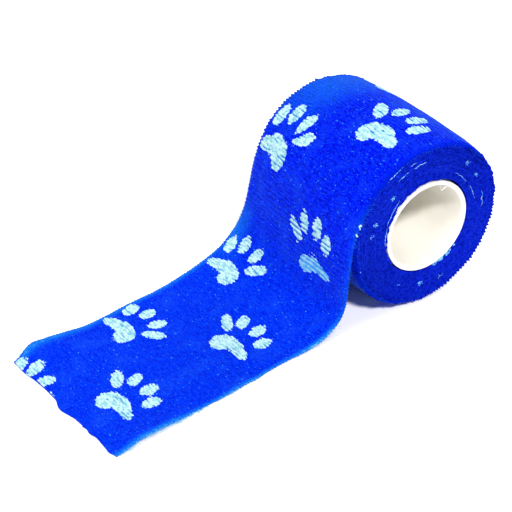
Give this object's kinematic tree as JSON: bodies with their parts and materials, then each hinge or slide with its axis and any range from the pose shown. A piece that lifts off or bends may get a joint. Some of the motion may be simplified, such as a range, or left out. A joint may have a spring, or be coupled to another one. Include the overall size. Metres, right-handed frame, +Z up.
{
  "type": "cohesive bandage roll",
  "caption": "Roll of blue elastic cohesive bandage with pale paw prints on a white tube, lying on its side with its loose end let down and laid flat.",
  "frame": {"origin": "middle of the flat spot on which the wound roll rests, straight below the roll's axis at mid-width", "axes": "+X along the roll's axis, towards the end face that the picture shows; +Z up; the loose end runs towards -Y"},
  "size_m": [0.0567, 0.1324, 0.0508],
  "materials": {
    "bandage": "matt crinkled elastic nonwoven, strong blue with pale cyan prints",
    "core": "smooth white moulded plastic, soft gloss"
  },
  "bodies": {
    "root": {"wound_roll": "bandage", "loose_end": "bandage", "core": "core"}
  },
  "joints": []
}
